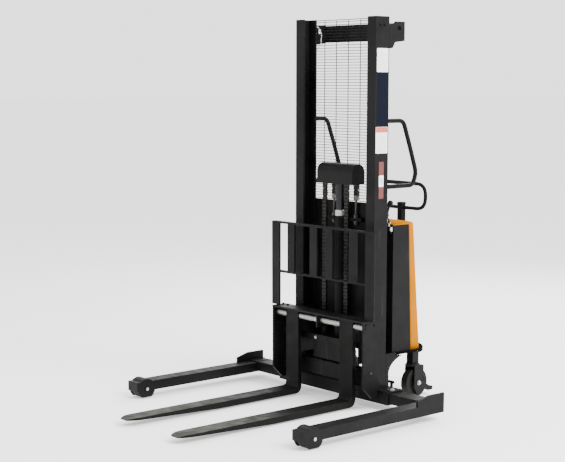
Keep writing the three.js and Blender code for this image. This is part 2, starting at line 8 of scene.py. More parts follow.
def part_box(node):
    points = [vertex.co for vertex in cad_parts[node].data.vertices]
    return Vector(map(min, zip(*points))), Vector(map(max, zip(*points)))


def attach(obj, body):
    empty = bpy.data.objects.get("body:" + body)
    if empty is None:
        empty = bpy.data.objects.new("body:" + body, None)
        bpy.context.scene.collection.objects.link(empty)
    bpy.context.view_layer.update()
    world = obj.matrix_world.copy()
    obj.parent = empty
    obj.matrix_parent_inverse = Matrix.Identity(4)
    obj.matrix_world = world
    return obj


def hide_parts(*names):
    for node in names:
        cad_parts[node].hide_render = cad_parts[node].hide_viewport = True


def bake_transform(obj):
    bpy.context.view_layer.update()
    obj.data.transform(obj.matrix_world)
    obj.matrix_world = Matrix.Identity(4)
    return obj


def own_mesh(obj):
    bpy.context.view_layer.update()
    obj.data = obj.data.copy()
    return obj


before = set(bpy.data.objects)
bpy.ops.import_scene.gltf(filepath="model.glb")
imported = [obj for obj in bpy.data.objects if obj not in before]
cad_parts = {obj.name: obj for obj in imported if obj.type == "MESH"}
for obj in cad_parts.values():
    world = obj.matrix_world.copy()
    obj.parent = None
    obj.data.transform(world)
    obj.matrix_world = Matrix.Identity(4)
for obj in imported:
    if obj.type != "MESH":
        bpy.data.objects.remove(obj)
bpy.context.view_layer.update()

# ---------------------------------------------------------------- places

# Lengths of pieces are in millimetres. X is the machine's width, Y runs back from the front face of
# the mast channels and Z is up, so `at` is the one place that turns them into the frame's metres.
# The floor, the sizes of the lights and the numbers in materials are in metres.

MM = 0.001
MAST_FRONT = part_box("mast_channel_left")[0].y
SIDES = (("left", 1), ("right", -1))
SCENE = bpy.context.scene


def at(x, y, z):
    return Vector((x * MM, MAST_FRONT + y * MM, z * MM))


def span(node):
    """Lowest and highest corner of a CAD node in the millimetres that `at` takes."""
    low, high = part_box(node)
    origin = at(0, 0, 0)
    return (low - origin) / MM, (high - origin) / MM


def centre_of(node):
    low, high = span(node)
    return (low + high) / 2


# ---------------------------------------------------------------- camera, floor and light

CAMERA_AZIMUTH = 49.77
CAMERA_DOWN = 8.33
CAMERA_PLACE = at(5194, -4789, 1672)
CAMERA_LENS = 85.85
CAMERA_SHIFT = (0.0111, 0.0859)
FLOOR_REACH = 120.0


def make_camera():
    data = bpy.data.cameras.new("camera")
    camera = bpy.data.objects.new("camera", data)
    SCENE.collection.objects.link(camera)
    data.lens = CAMERA_LENS
    data.shift_x, data.shift_y = CAMERA_SHIFT
    camera.location = CAMERA_PLACE
    camera.rotation_euler = (math.radians(90 - CAMERA_DOWN), 0, math.radians(CAMERA_AZIMUTH))
    SCENE.camera = camera


def area_light(name, place, target, size, watts):
    data = bpy.data.lights.new(name, "AREA")
    data.shape = "RECTANGLE"
    data.size, data.size_y = size
    data.energy = watts
    light = bpy.data.objects.new(name, data)
    light.location = place
    light.rotation_euler = (target - place).to_track_quat("-Z", "Y").to_euler()
    SCENE.collection.objects.link(light)


def make_world():
    """A white studio that is dimmer in front of the forks and brighter behind the housing."""
    world = bpy.data.worlds.new("studio")
    world.use_nodes = True
    tree = world.node_tree
    background = tree.nodes["Background"]
    background.inputs["Color"].default_value = (1, 1, 1, 1)
    place = tree.nodes.new("ShaderNodeTexCoord")
    split = tree.nodes.new("ShaderNodeSeparateXYZ")
    fade = tree.nodes.new("ShaderNodeMapRange")
    ends = {"From Min": -0.75, "From Max": 0.2, "To Min": 0.85, "To Max": 2.3}
    for key, value in ends.items():
        fade.inputs[key].default_value = value
    tree.links.new(place.outputs["Generated"], split.inputs[0])
    tree.links.new(split.outputs["Y"], fade.inputs["Value"])
    tree.links.new(fade.outputs["Result"], background.inputs["Strength"])
    SCENE.world = world


def make_studio():
    make_world()
    middle = at(0, 0, 900)
    area_light("key", at(4200, 600, 4200), middle, (3.0, 3.0), 560)
    area_light("front_fill", at(-1800, -4600, 2600), middle, (3.0, 2.4), 80)
    area_light("back_rim", at(-1800, 3800, 3400), middle, (2.6, 2.6), 200)
    floor_mesh = bpy.data.meshes.new("floor")
    reach = FLOOR_REACH
    corners = [(-reach, -reach, 0), (reach, -reach, 0), (reach, reach, 0), (-reach, reach, 0)]
    floor_mesh.from_pydata(corners, [], [(0, 1, 2, 3)])
    floor = bpy.data.objects.new("floor", floor_mesh)
    SCENE.collection.objects.link(floor)
    floor_mesh.materials.append(floor_material())


# ---------------------------------------------------------------- material building

class Nodes:
    """A small helper round one material's node tree."""

    def __init__(self, name):
        self.material = bpy.data.materials.new(name)
        self.material.use_nodes = True
        self.tree = self.material.node_tree
        self.shader = self.tree.nodes["Principled BSDF"]
        self.place = self.add("ShaderNodeTexCoord").outputs["Object"]

    def add(self, kind, **settings):
        node = self.tree.nodes.new(kind)
        for key, value in settings.items():
            setattr(node, key, value)
        return node

    def link(self, source, target):
        self.tree.links.new(source, target)

    def stretched(self, scale):
        mapping = self.add("ShaderNodeMapping")
        mapping.inputs["Scale"].default_value = scale
        self.link(self.place, mapping.inputs["Vector"])
        return mapping.outputs["Vector"]

    def noise(self, scale, detail=3.0, rough=0.5, vector=None):
        node = self.add("ShaderNodeTexNoise")
        node.inputs["Scale"].default_value = scale
        node.inputs["Detail"].default_value = detail
        node.inputs["Roughness"].default_value = rough
        self.link(vector or self.place, node.inputs["Vector"])
        return node.outputs["Fac"]

    def ramp(self, factor, low, high, out_low=0.0, out_high=1.0):
        node = self.add("ShaderNodeMapRange", interpolation_type="SMOOTHSTEP")
        ends = {"From Min": low, "From Max": high, "To Min": out_low, "To Max": out_high}
        for key, value in ends.items():
            node.inputs[key].default_value = value
        self.link(factor, node.inputs["Value"])
        return node.outputs["Result"]

    def math(self, operation, first, second):
        node = self.add("ShaderNodeMath", operation=operation)
        for socket, value in zip(node.inputs, (first, second)):
            if isinstance(value, (int, float)):
                socket.default_value = value
            else:
                self.link(value, socket)
        return node.outputs["Value"]

    def mix(self, factor, first, second):
        node = self.add("ShaderNodeMix", data_type="RGBA")
        self.link(factor, node.inputs["Factor"])
        for socket, value in ((node.inputs["A"], first), (node.inputs["B"], second)):
            if isinstance(value, tuple):
                socket.default_value = (*value, 1)
            else:
                self.link(value, socket)
        return node.outputs["Result"]

    def edges(self, radius, low, high):
        """1 along convex and concave edges, 0 on flat faces."""
        bevel = self.add("ShaderNodeBevel", samples=4)
        bevel.inputs["Radius"].default_value = radius
        geometry = self.add("ShaderNodeNewGeometry")
        dot = self.add("ShaderNodeVectorMath", operation="DOT_PRODUCT")
        self.link(bevel.outputs["Normal"], dot.inputs[0])
        self.link(geometry.outputs["Normal"], dot.inputs[1])
        return self.ramp(dot.outputs["Value"], 1 - low, 1 - high)

    def upward(self):
        geometry = self.add("ShaderNodeNewGeometry")
        split = self.add("ShaderNodeSeparateXYZ")
        self.link(geometry.outputs["Normal"], split.inputs[0])
        return self.ramp(split.outputs["Z"], 0.6, 1.0)

    def bump(self, height, strength, distance):
        node = self.add("ShaderNodeBump")
        node.inputs["Strength"].default_value = strength
        node.inputs["Distance"].default_value = distance
        self.link(height, node.inputs["Height"])
        self.link(node.outputs["Normal"], self.shader.inputs["Normal"])

    def set(self, **values):
        for key, value in values.items():
            socket = self.shader.inputs[key.replace("_", " ")]
            if isinstance(value, tuple):
                socket.default_value = (*value, 1)
            elif isinstance(value, (int, float)):
                socket.default_value = value
            else:
                self.link(value, socket)


def floor_material():
    n = Nodes("floor")
    tone = n.mix(n.noise(1.2), (0.955, 0.955, 0.95), (0.97, 0.97, 0.965))
    n.set(Base_Color=tone, Roughness=0.9, Specular_IOR_Level=0.1)
    n.set(Emission_Color=(1.0, 1.0, 1.0), Emission_Strength=0.45)
    return n.material


RUBBED_STEEL = (0.06, 0.058, 0.054)


def painted(name, colour, gloss=0.42, wear=0.45, dust=0.4, peel=0.12, sheen=0.08, cloud=0.28):
    """Powder coat or enamel: orange peel, cloudy tone, dust on top faces, rubbed edges and scratches."""
    n = Nodes(name)
    light = tuple(c * (1 + cloud) + 0.001 for c in colour)
    dark = tuple(c * (1 - cloud) for c in colour)
    cloudy = n.mix(n.ramp(n.noise(4.5, 5.0, 0.6), 0.3, 0.7), dark, light)
    dusty_tone = tuple(c * 0.8 + 0.008 for c in colour)
    dust_mask = n.math("MULTIPLY", n.upward(), n.ramp(n.noise(14, 4.0, 0.65), 0.35, 0.75, 0.0, dust))
    dusted = n.mix(dust_mask, cloudy, dusty_tone)
    rub = n.math("MULTIPLY", n.edges(0.0022, 0.02, 0.2), n.ramp(n.noise(38, 4.0, 0.7), 0.46, 0.6))
    streak = n.noise(34, 2.0, 0.5, n.stretched((1.0, 1.0, 0.06)))
    scratch = n.math("MULTIPLY", n.ramp(streak, 0.665, 0.70), n.ramp(n.noise(5.5), 0.5, 0.62))
    worn = n.math("MULTIPLY", n.math("MAXIMUM", rub, n.math("MULTIPLY", scratch, 0.25)), wear)
    n.set(Base_Color=n.mix(worn, dusted, RUBBED_STEEL))
    rough = n.ramp(n.noise(22, 3.0), 0.25, 0.75, gloss - 0.07, gloss + 0.10)
    n.set(Roughness=n.math("ADD", rough, n.math("MULTIPLY", dust_mask, 0.25)))
    n.set(Metallic=n.math("MULTIPLY", worn, 0.8), Specular_IOR_Level=sheen)
    n.bump(n.noise(420, 2.0), peel, 0.0006)
    return n.material


def fork_paint():
    """Black paint whose upper faces carry a dull grey-olive layer, partly pallet rub and partly a painted
    reflection of the bright surroundings that the tops catch, fading out towards the heel.
    """
    n = Nodes("fork_paint")
    # Pale grey-olive tone of the upper faces: partly rubbed paint, partly painted reflection.
    rubbed = n.mix(n.noise(9, 5.0, 0.65), (0.017, 0.0160, 0.0120), (0.032, 0.030, 0.024))
    along = n.noise(26, 3.0, 0.6, n.stretched((1.0, 0.05, 1.0)))
    streaked = n.mix(n.ramp(along, 0.45, 0.7), rubbed, (0.050, 0.047, 0.039))
    # Upper faces only: a rubbed layer that also paints in the pale reflection the tops catch.
    rub_and_reflection_mask = n.math("MULTIPLY", n.upward(), n.ramp(n.noise(5, 4.0, 0.6), 0.28, 0.5, 0.7, 1.0))
    split = n.add("ShaderNodeSeparateXYZ")
    n.link(n.place, split.inputs[0])
    # The painted reflection and the rub fade out towards the heel, leaving the tops there dark.
    heel, middle = at(0, -450, 0).y, at(0, -950, 0).y
    rub_and_reflection_mask = n.math("MULTIPLY", rub_and_reflection_mask, n.ramp(split.outputs["Y"], middle, heel, 1.0, 0.12))
    tone = n.mix(rub_and_reflection_mask, (0.0045, 0.0045, 0.0043), streaked)
    rub = n.math("MULTIPLY", n.edges(0.003, 0.02, 0.25), n.ramp(n.noise(30, 4.0, 0.7), 0.4, 0.55))
    n.set(Base_Color=n.mix(rub, tone, (0.07, 0.068, 0.06)), Specular_IOR_Level=0.07)
    n.set(Metallic=n.math("MULTIPLY", rub, 0.8))
    n.set(Roughness=n.ramp(n.noise(16), 0.3, 0.7, 0.38, 0.58))
    n.bump(n.noise(240, 3.0), 0.16, 0.0007)
    return n.material


def bare_metal(name, colour, rough, brush=(1.0, 1.0, 1.0), grime=0.35, scale=60):
    """Plated or turned steel: fine tool marks along one direction and grey grime in random patches."""
    n = Nodes(name)
    marks = n.noise(scale, 3.0, 0.6, n.stretched(brush))
    tone = n.mix(marks, tuple(c * 0.8 for c in colour), colour)
    stain = n.ramp(n.noise(24, 4.0, 0.7), 0.5, 0.72, 0.0, grime)
    n.set(Base_Color=n.mix(stain, tone, tuple(c * 0.35 for c in colour)))
    n.set(Roughness=n.ramp(marks, 0.2, 0.8, rough - 0.06, rough + 0.1), Metallic=1.0)
    n.bump(marks, 0.12, 0.0004)
    return n.material


def moulded(name, colour, rough=0.55, grain=300, speckle=0.2, sheen=0.12):
    """Plastic, rubber or polyurethane with a fine moulded grain and light scuffs."""
    n = Nodes(name)
    light = tuple(min(1.0, c * 1.6 + 0.004) for c in colour)
    scuff = n.ramp(n.noise(30, 5.0, 0.7), 0.52, 0.72, 0.0, speckle)
    body = n.mix(n.noise(7), tuple(c * 0.85 for c in colour), colour)
    n.set(Base_Color=n.mix(scuff, body, light))
    n.set(Roughness=n.ramp(n.noise(18), 0.3, 0.7, rough - 0.08, rough + 0.08), Specular_IOR_Level=sheen)
    n.bump(n.noise(grain, 2.0), 0.2, 0.0005)
    return n.material


def printed(name, colour, rough=0.4, sheen=0.2):
    """Vinyl label stock: almost even colour, slightly faded and scuffed."""
    n = Nodes(name)
    faded = tuple(min(1.0, c * 1.05 + 0.0005) for c in colour)
    n.set(Base_Color=n.mix(n.ramp(n.noise(20, 5.0, 0.7), 0.4, 0.7), colour, faded))
    n.set(Roughness=n.ramp(n.noise(40), 0.3, 0.7, rough, rough + 0.12), Specular_IOR_Level=sheen)
    n.bump(n.noise(160), 0.05, 0.0003)
    return n.material


BLACK = painted("black_paint", (0.0052, 0.0050, 0.0052))
GLOSS_BLACK = painted("gloss_black", (0.0055, 0.0055, 0.0057), gloss=0.42, wear=0.3, dust=0.2, sheen=0.04)
DECK_BLACK = painted("deck_paint", (0.0045, 0.0045, 0.0047), gloss=0.75, wear=0.15, dust=0.2, sheen=0.0)
GUARD = painted("guard_paint", (0.005, 0.005, 0.005), gloss=0.5, wear=0.1, dust=0.1, sheen=0.03)
YELLOW = painted(
    "yellow_enamel", (0.36, 0.124, 0.0), gloss=0.36, wear=0.15, dust=0.0, peel=0.05, sheen=0.0, cloud=0.06,
)
FORK = fork_paint()
ZINC = bare_metal("zinc_plate", (0.52, 0.52, 0.49), 0.36, grime=0.35)
SHAFT = bare_metal("turned_shaft", (0.36, 0.36, 0.34), 0.34, (1.0, 0.08, 0.08), 0.2, 90)
ROD = bare_metal("ground_rod", (0.030, 0.030, 0.032), 0.26, (1.0, 1.0, 0.1), 0.1)
CHAIN = bare_metal("chain_steel", (0.038, 0.036, 0.033), 0.40, grime=0.5)
OILED = bare_metal("oiled_steel", (0.12, 0.115, 0.105), 0.40, (1.0, 1.0, 0.2), 0.5)
ROLLER = bare_metal("roller_steel", (0.16, 0.16, 0.155), 0.35, (1.0, 0.2, 0.2))
RUBBER = moulded("rubber", (0.012, 0.012, 0.012), 0.7)
TREAD = moulded("wheel_tread", (0.008, 0.0078, 0.007), 0.55, 220, 0.2)
HUB = moulded("wheel_hub", (0.010, 0.010, 0.010), 0.45)
BATTERY = moulded("battery_case", (0.05, 0.05, 0.055), 0.5)
TANK = moulded("tank_plastic", (0.42, 0.42, 0.36), 0.45)
RED = moulded("red_plastic", (0.36, 0.01, 0.008), 0.3, 400, 0.05, 0.4)
WHITE_LABEL = printed("white_label", (0.78, 0.78, 0.76))
NAVY_LABEL = printed("navy_label", (0.0016, 0.0030, 0.0085), 0.5, 0.06)
RED_LABEL = printed("red_label", (0.45, 0.11, 0.08))
PINK_LABEL = printed("pink_label", (0.12, 0.036, 0.032))
GREY_PRINT = printed("grey_print", (0.42, 0.42, 0.43))
WHITE_CABLE = moulded("white_cable", (0.70, 0.69, 0.64), 0.4)

# ---------------------------------------------------------------- mesh building


def mesh_from(name, bm, smooth_angle):
    bmesh.ops.recalc_face_normals(bm, faces=bm.faces)
    for face in bm.faces:
        face.smooth = True
    mesh = bpy.data.meshes.new(name)
    bm.to_mesh(mesh)
    bm.free()
    mesh.set_sharp_from_angle(angle=math.radians(smooth_angle))
    return mesh


def place(name, bm, body, slot, material, smooth_angle=35):
    """Puts what bm holds in the scene as a piece, riding on a body where one is named."""
    mesh = mesh_from(name, bm, smooth_angle)
    mesh.materials.append(material)
    obj = bpy.data.objects.new(name, mesh)
    SCENE.collection.objects.link(obj)
    if body:
        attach(obj, body)
    return obj


def stand_in(name, bm, node, body, slot, material):
    """Puts what bm holds in the scene in place of a CAD node, riding on a body."""
    obj = place(name, bm, None, slot, material)
    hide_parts(node)
    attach(obj, body)
    return obj


def round_edges(bm, width, angle=28, segments=2):
    limit = math.radians(angle)
    edges = [e for e in bm.edges if len(e.link_faces) == 2 and e.calc_face_angle(0) > limit]
    if edges:
        bmesh.ops.bevel(
            bm, geom=edges, offset=width * MM, segments=segments, profile=0.6,
            affect="EDGES", clamp_overlap=True,
        )


def refine(node, body, slot, material, width=1.5, angle=28, segments=2):
    """The CAD node's own shape with its edges really rounded, standing in for the node."""
    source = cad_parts[node].data
    bm = bmesh.new()
    bm.from_mesh(source)
    bmesh.ops.remove_doubles(bm, verts=bm.verts, dist=2e-5)
    bmesh.ops.dissolve_limit(bm, angle_limit=math.radians(1), verts=bm.verts, edges=bm.edges)
    round_edges(bm, width, angle, segments)
    obj = stand_in(node + "_finished", bm, node, body, slot, material)
    weighted = obj.modifiers.new("weighted", "WEIGHTED_NORMAL")
    weighted.keep_sharp = False


def axis_matrix(axis, centre):
    """Local Z turned to the named axis, at a centre in millimetres."""
    turn = {
        "x": Matrix.Rotation(math.radians(90), 4, "Y"),
        "y": Matrix.Rotation(math.radians(-90), 4, "X"),
        "z": Matrix.Identity(4),
    }[axis]
    return Matrix.Translation(at(*centre)) @ turn


def join_rings(bm, near, far):
    """A band of faces between two rings with equally many vertices."""
    count = len(near)
    for k in range(count):
        after = (k + 1) % count
        bm.faces.new((near[k], near[after], far[after], far[k]))


def add_lathe(bm, profile, matrix, segments=48):
    """A closed ring turned round local Z from (radius, height) points in millimetres."""
    rings = []
    for radius, height in profile:
        ring = []
        for k in range(segments):
            angle = 2 * math.pi * k / segments
            local = Vector((radius * math.cos(angle), radius * math.sin(angle), height)) * MM
            ring.append(bm.verts.new(matrix @ local))
        rings.append(ring)
    for near, far in zip(rings, rings[1:] + rings[:1]):
        join_rings(bm, near, far)


def add_prism(bm, outline, matrix, low, high):
    """An outline of (u, v) millimetres in local XY, extruded along local Z."""
    bottom = [bm.verts.new(matrix @ (Vector((u, v, low)) * MM)) for u, v in outline]
    top = [bm.verts.new(matrix @ (Vector((u, v, high)) * MM)) for u, v in outline]
    bm.faces.new(bottom[::-1])
    bm.faces.new(top)
    join_rings(bm, bottom, top)


def circle(radius, count, start=0.0):
    angles = [start + 2 * math.pi * k / count for k in range(count)]
    return [(radius * math.cos(angle), radius * math.sin(angle)) for angle in angles]


def add_rod(bm, axis, centre, radius, low, high, sides=24, chamfer=0.6):
    """A round bar with chamfered ends; low and high are measured along the axis from the centre."""
    matrix = axis_matrix(axis, centre)
    profile = [
        (radius - chamfer, low), (radius, low + chamfer),
        (radius, high - chamfer), (radius - chamfer, high),
    ]
    rings = []
    for r, h in profile:
        rings.append([bm.verts.new(matrix @ (Vector((u, v, h)) * MM)) for u, v in circle(r, sides)])
    bm.faces.new(rings[0][::-1])
    bm.faces.new(rings[-1])
    for near, far in zip(rings, rings[1:]):
        join_rings(bm, near, far)


def add_hex_bolt(bm, axis, centre, radius, height, outward=1, washer=True):
    """A domed hexagon head or nut on a washer, sitting on the point `centre`."""
    matrix = axis_matrix(axis, centre)
    base = 0.0
    if washer:
        add_prism(bm, circle(radius * 1.35, 24), matrix, 0, outward * 1.6)
        base = 1.6
    crown = height * 0.8
    add_prism(bm, circle(radius, 6), matrix, outward * base, outward * (base + crown))
    add_prism(bm, circle(radius * 0.86, 18), matrix, outward * (base + crown), outward * (base + height))


def curve_points(points, corner, steps=6):
    """The path through the points with each corner rounded off at that distance."""
    nodes = [at(*p) for p in points]
    path = [nodes[0]]
    for i in range(1, len(nodes) - 1):
        before = nodes[i] + (nodes[i - 1] - nodes[i]).normalized() * corner * MM
        after = nodes[i] + (nodes[i + 1] - nodes[i]).normalized() * corner * MM
        for k in range(steps + 1):
            t = k / steps
            path.append(before * (1 - t) ** 2 + nodes[i] * 2 * t * (1 - t) + after * t * t)
    path.append(nodes[-1])
    return path


def add_tube(bm, path, radius, sides=16, closed=False):
    """A round tube along metre points, carried along without twist, with flat ends."""
    count = len(path)
    rings = []
    normal = None
    for i, point in enumerate(path):
        ahead = path[(i + 1) % count] if closed or i < count - 1 else point
        behind = path[i - 1] if closed or i > 0 else point
        tangent = (ahead - behind).normalized()
        if normal is None:
            normal = tangent.orthogonal().normalized()
        normal = (normal - tangent * normal.dot(tangent)).normalized()
        side = tangent.cross(normal)
        offsets = [(normal * u + side * v) * MM for u, v in circle(radius, sides)]
        rings.append([bm.verts.new(point + offset) for offset in offsets])
    pairs = list(zip(rings, rings[1:]))
    if closed:
        pairs.append((rings[-1], rings[0]))
    else:
        bm.faces.new(rings[0][::-1])
        bm.faces.new(rings[-1])
    for near, far in pairs:
        join_rings(bm, near, far)


def weld_bead(name, body, runs, radius=3.0, pitch=4.0):
    """Stacked-ripple fillet welds along straight runs given as pairs of millimetre points."""
    bm = bmesh.new()
    for start, end in runs:
        a, b = at(*start), at(*end)
        count = max(2, round((b - a).length / (pitch * MM)))
        path = [a.lerp(b, k / (count * 3)) for k in range(count * 3 + 1)]
        before = len(bm.verts)
        add_tube(bm, path, radius, 8)
        bm.verts.ensure_lookup_table()
        direction = (b - a).normalized()
        for vert in bm.verts[before:]:
            distance = (vert.co - a).dot(direction)
            foot = a + direction * distance
            ripple = 0.82 + 0.18 * abs(math.sin(math.pi * distance / (pitch * MM)))
            vert.co = foot + (vert.co - foot) * ripple
    place(name, bm, body, "black_paint", BLACK, 60)


def bolts(name, body, slot, material, items):
    """One piece of several hexagon heads: (axis, centre, radius, height, outward)."""
    bm = bmesh.new()
    for axis, centre, radius, height, outward in items:
        add_hex_bolt(bm, axis, centre, radius, height, outward)
    round_edges(bm, 0.3, 40, 1)
    place(name, bm, body, slot, material)


# ---------------------------------------------------------------- mast

MAST_LOW, MAST_HIGH = span("mast_channel_left")
MAST_HALF, MAST_DEPTH = MAST_HIGH.x, MAST_HIGH.y


def make_mast():
    for name, side in SIDES:
        refine(f"mast_channel_{name}", "root", "black_paint", BLACK, 2.2, segments=3)
        foot = [("y", (side * (MAST_HALF - 14), 0, z), 7.5, 6, -1) for z in (122, 184)]
        bolts(f"mast_foot_bolts_{name}", "root", "zinc", ZINC, foot)
        stops = [("x", (side * MAST_HALF, y, 1958), 6.5, 5, side) for y in (34, 62)]
        bolts(f"mast_stop_bolts_{name}", "root", "black_paint", BLACK, stops)
    refine("mast_bridge", "root", "black_paint", BLACK, 1.8)
    refine("mast_cross_plate", "root", "black_paint", BLACK, 1.5)
    back = MAST_DEPTH + 3
    runs = []
    for side in (1, -1):
        runs += [
            ((side * 290, back, 1850), (side * 290, back, 1958)),
            ((side * 290, 193, 1896), (side * 290, 193, 1964)),
            ((side * 291, 96, 942), (side * 291, 96, 1032)),
        ]
    weld_bead("mast_welds", "root", runs, 2.6)


GUARD_UPRIGHTS = (-182, -91, 0, 91, 182)


def make_guard():
    """Fine welded wire: level wires crossed by five uprights, inside a frame of edge wires."""
    low, high = span("mesh_guard")
    edge, pitch, wire = 2.4, 15, 1.7
    bm = bmesh.new()
    frame_y = (low.y + high.y) / 2
    inset = edge + 0.2
    for x in (low.x + inset, high.x - inset):
        add_rod(bm, "z", (x, frame_y, 0), edge * 0.8, low.z + 1, high.z - 1, 10, 0.3)
    for z in (low.z + inset, high.z - inset):
        add_rod(bm, "x", (0, frame_y, z), edge * 0.8, low.x + 1, high.x - 1, 10, 0.3)
    for x in GUARD_UPRIGHTS:
        add_rod(bm, "z", (x, high.y - wire, 0), wire * 1.2, low.z + 6, high.z - 6, 8, 0.2)
    rows = int((high.z - low.z - 2 * edge) / pitch)
    for k in range(1, rows + 1):
        z = low.z + edge + k * pitch
        add_rod(bm, "x", (0, low.y + wire, z), wire, low.x + 8, high.x - 8, 8, 0.2)
    stand_in("wire_guard", bm, "mesh_guard", "root", "guard_wire", GUARD)
    clips = [("y", (side * 268, high.y, z), 5.5, 4, 1) for side in (1, -1) for z in (1075, 1500, 1950)]
    bolts("guard_bolts", "root", "zinc", ZINC, clips)


def add_plate(bm, y0, y1, z0, z1, x0, x1, side, corner=3.0):
    """A thin rounded plate on the mast's outer face."""
    outline = []
    for cy, cz, start in (
        (y1 - corner, z1 - corner, 0), (y0 + corner, z1 - corner, 90),
        (y0 + corner, z0 + corner, 180), (y1 - corner, z0 + corner, 270),
    ):
        for k in range(5):
            angle = math.radians(start + 22.5 * k)
            outline.append((cy + corner * math.cos(angle), cz + corner * math.sin(angle)))
    matrix = Matrix.Translation(at(side * MAST_HALF, 0, 0)) @ Matrix((
        (0, 0, side, 0), (1, 0, 0, 0), (0, 1, 0, 0), (0, 0, 0, 1),
    ))
    add_prism(bm, outline, matrix, x0, x1)


def label(name, side, material, y0, y1, z0, z1, low=0.0, high=0.5):
    bm = bmesh.new()
    add_plate(bm, y0, y1, z0, z1, low, high, side)
    place(name, bm, "root", "black_paint", material)


def make_labels():
    """Plain colour blocks and ruled lines in place of the printed labels on the mast's side."""
    label("label_top", 1, WHITE_LABEL, 9, 88, 1723, 1841)
    label("label_navy", 1, NAVY_LABEL, 9, 92, 1452, 1722)
    label("label_notice", 1, WHITE_LABEL, 5, 88, 1315, 1448)
    label("label_notice_head", 1, RED_LABEL, 6, 87, 1420, 1447, 0.5, 0.62)
    label("label_strip_top", 1, PINK_LABEL, 30, 64, 1203, 1272)
    label("label_strip", 1, WHITE_LABEL, 31, 63, 1145, 1203)
    label("label_strip_foot", 1, PINK_LABEL, 30, 64, 1084, 1145)
    label("label_strip_mark", 1, GREY_PRINT, 43, 51, 1165, 1188, 0.5, 0.62)
    bm = bmesh.new()
    rows = [(1736 + 11 * k, 16, 80 - 14 * (k % 3)) for k in range(9)]
    rows += [(1326 + 12 * k, 12, 80 - 10 * (k % 2)) for k in range(7)]
    for z, y0, y1 in rows:
        add_plate(bm, y0, y1, z, z + 2.2, 0.5, 0.62, 1, 1.0)
    place("label_ruling", bm, "root", "black_paint", GREY_PRINT)


def make_push_handles():
    top, foot = 1477, 1141
    weld = [(11.2, 0), (14.5, 0), (12.5, 3.5), (11.2, 4.5)]
    start = MAST_DEPTH + 0.5
    for name, side in SIDES:
        x = side * 291
        node = f"push_handle_{name}"
        route = [
            (x, start, top), (x, 214, top), (x, 262, 1352),
            (x, 314, 1206), (x, 290, foot), (x, start, foot),
        ]
        bm = bmesh.new()
        add_tube(bm, curve_points(route, 30, 10), 11.5, 24)
        stand_in(node + "_tube", bm, node, "root", "handle_paint", GLOSS_BLACK)
        bm = bmesh.new()
        for z in (top, foot):
            add_lathe(bm, weld, axis_matrix("y", (x, start, z)), 24)
        place(f"push_handle_welds_{name}", bm, "root", "black_paint", BLACK)


# ---------------------------------------------------------------- base and legs

SLEEVE_LOW, SLEEVE_HIGH = span("outrigger_sleeve")


def make_base():
    refine("outrigger_sleeve", "root", "black_paint", BLACK, 2.5)
    refine("base_front_plate", "root", "black_paint", BLACK, 1.2)
    refine("deck_plate", "root", "black_paint", DECK_BLACK, 1.2, angle=40)
    for name, side in SIDES:
        refine(f"base_side_plate_{name}", "root", "black_paint", BLACK, 1.4)
        refine(f"caster_mount_{name}", "root", "black_paint", BLACK, 2.0)
    runs = []
    for side in (1, -1):
        runs += [
            ((side * 291, 101, 106), (side * 240, 101, 106)),
            ((side * 306, 1, 106), (side * 306, 93, 106)),
            ((side * 290, 172, 249), (side * 290, 208, 249)),
        ]
    runs.append(((-238, 9, 106), (238, 9, 106)))
    weld_bead("base_welds", "root", runs, 2.8)


def thread_profile(low, high, root, crest, count):
    """A screw thread from low to high as rings, closed near its axis."""
    profile = [(2.0, low)]
    for k in range(count + 1):
        profile.append((crest if k % 2 else root, low + (high - low) * k / count))
    profile.append((2.0, high))
    return profile


def make_clamp_bolts():
    for name, side in SIDES:
        low, high = span(f"clamp_bolt_{name}")
        x, y = (low.x + high.x) / 2, (low.y + high.y) / 2
        top = SLEEVE_HIGH.z
        bm = bmesh.new()
        thread = thread_profile(low.z, high.z - 8, 7.2, 8.0, 34)
        add_lathe(bm, thread, axis_matrix("z", (x, y, 0)), 20)
        add_rod(bm, "x", (x, y, high.z - 7), 7, low.x - x, high.x - x, 24, 2.0)
        node = f"clamp_bolt_{name}"
        stand_in(f"clamp_screw_{name}", bm, node, node, "black_paint", GLOSS_BLACK)
        bm = bmesh.new()
        matrix = axis_matrix("z", (x, y, top))
        add_prism(bm, circle(19, 28), matrix, 0, 2.4)
        add_prism(bm, circle(13.5, 6), matrix, 2.4, 12)
        round_edges(bm, 0.6, 40, 1)
        place(f"clamp_nut_{name}", bm, "root", "zinc", ZINC)


def make_outriggers():
    for name, side in SIDES:
        body = f"outrigger_{name}"
        refine(body, body, "black_paint", BLACK, 2.2, angle=24)
        runs = [
            ((side * 629, -3, 96), (side * 629, 93, 96)),
            ((side * 629, -3, 45), (side * 629, -3, 90)),
            ((side * 700, -8, 92), (side * 700, 112, 92)),
        ]
        weld_bead(f"outrigger_welds_{name}", body, runs, 3.2)
        make_load_wheel(name, side)


def mirrored(profile):
    """A turned profile given up to its middle, and its mirror image."""
    return profile + [(radius, -height) for radius, height in reversed(profile)]


def tread_profile(core, radius, half, shoulder, steps):
    """A tyre's section: a bore of radius core, and shoulders rounded at the rim."""
    profile = [(core, -half)]
    for k in range(steps + 1):
        angle = math.pi / 2 * k / steps
        outward = radius - shoulder + shoulder * math.sin(angle)
        profile.append((outward, -half + shoulder - shoulder * math.cos(angle)))
    return mirrored(profile)


